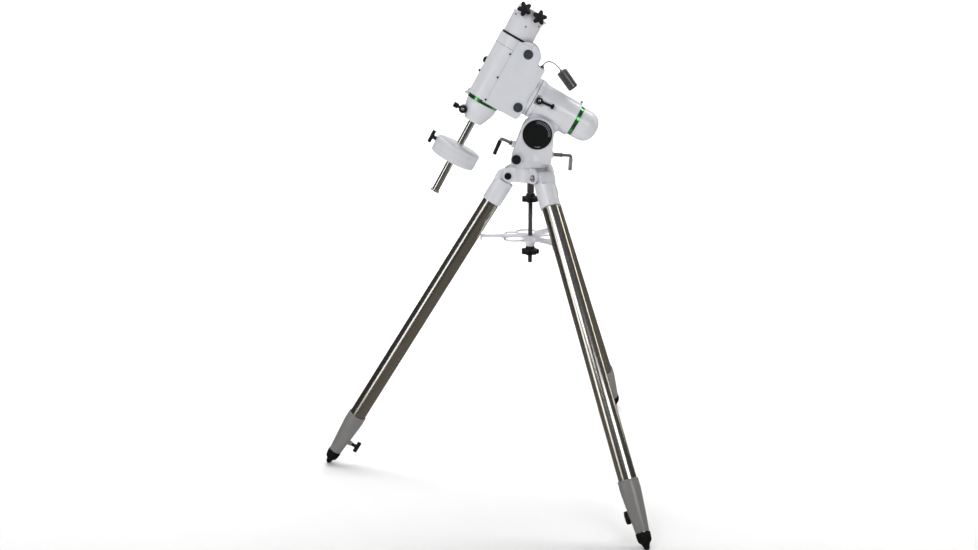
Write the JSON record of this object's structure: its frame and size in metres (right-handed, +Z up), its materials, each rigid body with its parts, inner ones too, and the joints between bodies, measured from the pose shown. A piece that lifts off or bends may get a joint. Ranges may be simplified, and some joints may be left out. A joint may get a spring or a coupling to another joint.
{
  "type": "equatorial mount",
  "caption": "German equatorial telescope mount on a folding steel tripod, with tilting polar axis, saddle, setting circles and counterweight.",
  "frame": {"origin": "on the floor below the tripod's vertical axis", "axes": "+Z up along the tripod's vertical axis; -X towards the raised end of the polar axis; -Y towards the side with the saddle clamp knobs"},
  "size_m": [0.8496, 0.9744, 1.2463],
  "materials": {
    "white_casting": "painted, satin",
    "white_cover": "painted, satin",
    "clamp_casting": "painted, satin",
    "green_anodised": "anodised, glossy",
    "polished_steel": "polished",
    "steel": "brushed",
    "iron_white": "painted, satin",
    "black_plastic": "moulded, satin",
    "black_metal": "anodised, satin",
    "grey_plastic": "moulded, satin",
    "rubber": "matt",
    "brass_gear": "machined"
  },
  "bodies": {
    "tripod": {"tripod_hub": "white_casting", "hinge_bolts": "steel", "centre_rod": "steel"},
    "centre_rod_knob": {"mount_knob": "black_plastic"},
    "spreader_clamp": {"spreader_knob": "black_plastic"},
    "spreader": {"spreader": "white_casting"},
    "left_leg": {"left_leg_socket": "white_casting", "left_leg_tube": "polished_steel", "left_leg_clamp": "clamp_casting"},
    "left_lower_leg": {"left_leg_extension": "polished_steel", "left_leg_foot": "rubber"},
    "left_lock_screw": {"left_leg_lock_screw": "black_plastic"},
    "front_leg": {"front_leg_socket": "white_casting", "front_leg_tube": "polished_steel", "front_leg_clamp": "clamp_casting"},
    "front_lower_leg": {"front_leg_extension": "polished_steel", "front_leg_foot": "rubber"},
    "front_lock_screw": {"front_leg_lock_screw": "black_plastic"},
    "rear_leg": {"rear_leg_socket": "white_casting", "rear_leg_tube": "polished_steel", "rear_leg_clamp": "clamp_casting"},
    "rear_lower_leg": {"rear_leg_extension": "polished_steel", "rear_leg_foot": "rubber"},
    "rear_lock_screw": {"rear_leg_lock_screw": "black_plastic"},
    "azimuth_base": {"azimuth_base": "white_casting", "altitude_pivot": "steel", "latitude_dials": "black_metal"},
    "azimuth_knob_near": {"azimuth_knob_near": "black_plastic"},
    "azimuth_knob_far": {"azimuth_knob_far": "black_plastic"},
    "polar_housing": {"ra_housing": "white_casting"},
    "latitude_bolt_front": {"latitude_bolt_front": "steel"},
    "latitude_bolt_rear": {"latitude_bolt_rear": "steel"},
    "polar_circle": {"ra_setting_circle": "green_anodised"},
    "polar_circle_screw": {"ra_circle_screw": "steel"},
    "polar_clutch_lever": {"ra_lock_lever": "black_plastic"},
    "polar_cap": {"polar_scope_cap": "white_casting"},
    "declination_housing": {"ra_shaft": "steel", "polar_scope": "black_metal", "dec_housing": "white_casting", "motor_cover": "white_cover", "housing_screws": "steel", "cover_plugs": "grey_plastic", "port_panel": "grey_plastic", "drive_motors": "steel", "worm_drives": "brass_gear", "lamp_gland": "black_plastic", "lamp_cord": "black_plastic", "lamp_housing": "grey_plastic"},
    "declination_clutch_lever": {"dec_lock_lever": "black_plastic"},
    "declination_circle": {"dec_setting_circle": "green_anodised"},
    "saddle": {"dec_shaft": "steel", "dec_seal_ring": "black_plastic", "saddle": "white_casting", "shaft_nose": "white_casting"},
    "saddle_knob_upper": {"saddle_knob_upper": "black_plastic"},
    "saddle_knob_lower": {"saddle_knob_lower": "black_plastic"},
    "shaft_lever": {"shaft_lock_lever": "black_plastic"},
    "weight_shaft": {"counterweight_shaft": "polished_steel"},
    "counterweight": {"counterweight": "iron_white"},
    "counterweight_screw": {"counterweight_screw": "black_plastic"}
  },
  "joints": [
    {"name": "rod_knob_turn", "type": "hinge", "parent": "tripod", "child": "centre_rod_knob", "pos_m": [0, 0, 0.75], "axis": [0, 0, 1], "range_deg": [0, 360]},
    {"name": "left_leg_fold", "type": "hinge", "parent": "tripod", "child": "left_leg", "pos_m": [-0.0585, 0, 0.811], "axis": [0, -1, 0], "range_deg": [0, 24]},
    {"name": "left_leg_extend", "type": "slide", "parent": "left_leg", "child": "left_lower_leg", "axis": [-0.5246, 0, -0.8514], "range_m": [0, 0.42]},
    {"name": "left_lock_screw_turn", "type": "hinge", "parent": "left_leg", "child": "left_lock_screw", "pos_m": [-0.51384, 0, 0.07202], "axis": [0.8514, 0, -0.5246], "range_deg": [0, 180]},
    {"name": "front_leg_fold", "type": "hinge", "parent": "tripod", "child": "front_leg", "pos_m": [0.02925, -0.05066, 0.811], "axis": [0.866, 0.5, 0], "range_deg": [0, 24]},
    {"name": "front_leg_extend", "type": "slide", "parent": "front_leg", "child": "front_lower_leg", "axis": [0.2623, -0.4543, -0.8514], "range_m": [0, 0.42]},
    {"name": "front_lock_screw_turn", "type": "hinge", "parent": "front_leg", "child": "front_lock_screw", "pos_m": [0.25692, -0.44499, 0.07202], "axis": [-0.4257, 0.7373, -0.5246], "range_deg": [0, 180]},
    {"name": "rear_leg_fold", "type": "hinge", "parent": "tripod", "child": "rear_leg", "pos_m": [0.02925, 0.05066, 0.811], "axis": [-0.866, 0.5, 0], "range_deg": [0, 24]},
    {"name": "rear_leg_extend", "type": "slide", "parent": "rear_leg", "child": "rear_lower_leg", "axis": [0.2623, 0.4543, -0.8514], "range_m": [0, 0.42]},
    {"name": "rear_lock_screw_turn", "type": "hinge", "parent": "rear_leg", "child": "rear_lock_screw", "pos_m": [0.25692, 0.44499, 0.07202], "axis": [-0.4257, -0.7373, -0.5246], "range_deg": [0, 180]},
    {"name": "spreader_lower", "type": "slide", "parent": "tripod", "child": "spreader_clamp", "axis": [0, 0, -1], "range_m": [0, 0.2401]},
    {"name": "spreader_turn", "type": "hinge", "parent": "spreader_clamp", "child": "spreader", "pos_m": [0, 0, 0.648], "axis": [0, 0, 1], "range_deg": [0, 60]},
    {"name": "azimuth", "type": "hinge", "parent": "tripod", "child": "azimuth_base", "pos_m": [0, 0, 0.8353], "axis": [0, 0, 1], "range_deg": [-9, 9]},
    {"name": "azimuth_knob_near_travel", "type": "slide", "parent": "azimuth_base", "child": "azimuth_knob_near", "axis": [0, 1, 0], "range_m": [-0.0062, 0.0062]},
    {"name": "azimuth_knob_far_travel", "type": "slide", "parent": "azimuth_base", "child": "azimuth_knob_far", "axis": [0, 1, 0], "range_m": [-0.0062, 0.0062]},
    {"name": "altitude", "type": "hinge", "parent": "azimuth_base", "child": "polar_housing", "pos_m": [0.0157, 0, 0.92], "axis": [0, 1, 0], "range_deg": [-13.6, 31.4]},
    {"name": "latitude_bolt_front_travel", "type": "slide", "parent": "azimuth_base", "child": "latitude_bolt_front", "axis": [-0.9171, 0, 0.3987], "range_m": [-0.01254, 0.0287]},
    {"name": "latitude_bolt_rear_travel", "type": "slide", "parent": "azimuth_base", "child": "latitude_bolt_rear", "axis": [-0.9986, 0, 0.0523], "range_m": [-0.01292, 0.02957]},
    {"name": "polar_circle_turn", "type": "hinge", "parent": "polar_housing", "child": "polar_circle", "pos_m": [0.11258, 0, 0.95146], "axis": [-0.878, 0, 0.4787], "continuous": true},
    {"name": "polar_circle_screw_turn", "type": "hinge", "parent": "polar_housing", "child": "polar_circle_screw", "pos_m": [0.1281, 0, 0.99767], "axis": [0.4787, 0, 0.878], "range_deg": [0, 180]},
    {"name": "polar_clutch", "type": "hinge", "parent": "polar_housing", "child": "polar_clutch_lever", "pos_m": [0.01993, -0.0453, 1.00505], "axis": [0, -1, 0], "range_deg": [-60, 0]},
    {"name": "polar_cap_off", "type": "slide", "parent": "polar_housing", "child": "polar_cap", "axis": [0.878, 0, -0.4787], "range_m": [0, 0.06]},
    {"name": "polar_axis", "type": "hinge", "parent": "polar_housing", "child": "declination_housing", "pos_m": [-0.08935, 0, 1.06156], "axis": [-0.878, 0, 0.4787], "range_deg": [-100, 100]},
    {"name": "declination_clutch", "type": "hinge", "parent": "declination_housing", "child": "declination_clutch_lever", "pos_m": [-0.11168, 0.02282, 1.09993], "axis": [-0.7526, 0.515, 0.4103], "range_deg": [0, 60]},
    {"name": "declination_circle_turn", "type": "hinge", "parent": "declination_housing", "child": "declination_circle", "pos_m": [-0.12286, 0, 1.0001], "axis": [0.4787, 0, 0.878], "continuous": true},
    {"name": "declination_axis", "type": "hinge", "parent": "declination_housing", "child": "saddle", "pos_m": [-0.08935, 0, 1.06156], "axis": [0.4787, 0, 0.878], "continuous": true},
    {"name": "saddle_knob_upper_turn", "type": "hinge", "parent": "saddle", "child": "saddle_knob_upper", "pos_m": [-0.01895, -0.05, 1.22933], "axis": [0, -1, 0], "range_deg": [0, 360]},
    {"name": "saddle_knob_lower_turn", "type": "hinge", "parent": "saddle", "child": "saddle_knob_lower", "pos_m": [0.01836, -0.05, 1.20899], "axis": [0, -1, 0], "range_deg": [0, 360]},
    {"name": "shaft_lever_turn", "type": "hinge", "parent": "saddle", "child": "shaft_lever", "pos_m": [-0.1741, -0.018, 0.98134], "axis": [0, -1, 0], "range_deg": [0, 60]},
    {"name": "weight_shaft_retract", "type": "slide", "parent": "saddle", "child": "weight_shaft", "axis": [0.4787, 0, 0.878], "range_m": [0, 0.05]},
    {"name": "counterweight_slide", "type": "slide", "parent": "weight_shaft", "child": "counterweight", "axis": [-0.4787, 0, -0.878], "range_m": [-0.06, 0.08]},
    {"name": "counterweight_screw_turn", "type": "hinge", "parent": "counterweight", "child": "counterweight_screw", "pos_m": [-0.25277, 0, 0.90806], "axis": [-0.878, 0, 0.4787], "range_deg": [0, 180]}
  ],
  "couplings": [
    {"joint": "front_leg_fold", "follows": "left_leg_fold", "ratio": 1},
    {"joint": "rear_leg_fold", "follows": "left_leg_fold", "ratio": 1},
    {"joint": "spreader_lower", "follows": "left_leg_fold", "m_per_rad": 0.57296},
    {"joint": "spreader_turn", "follows": "left_leg_fold", "ratio": 2.5},
    {"joint": "azimuth_knob_near_travel", "follows": "azimuth", "m_per_rad": 0.037},
    {"joint": "azimuth_knob_far_travel", "follows": "azimuth", "m_per_rad": 0.037},
    {"joint": "latitude_bolt_front_travel", "follows": "altitude", "m_per_rad": 0.052},
    {"joint": "latitude_bolt_rear_travel", "follows": "altitude", "m_per_rad": 0.0536}
  ]
}
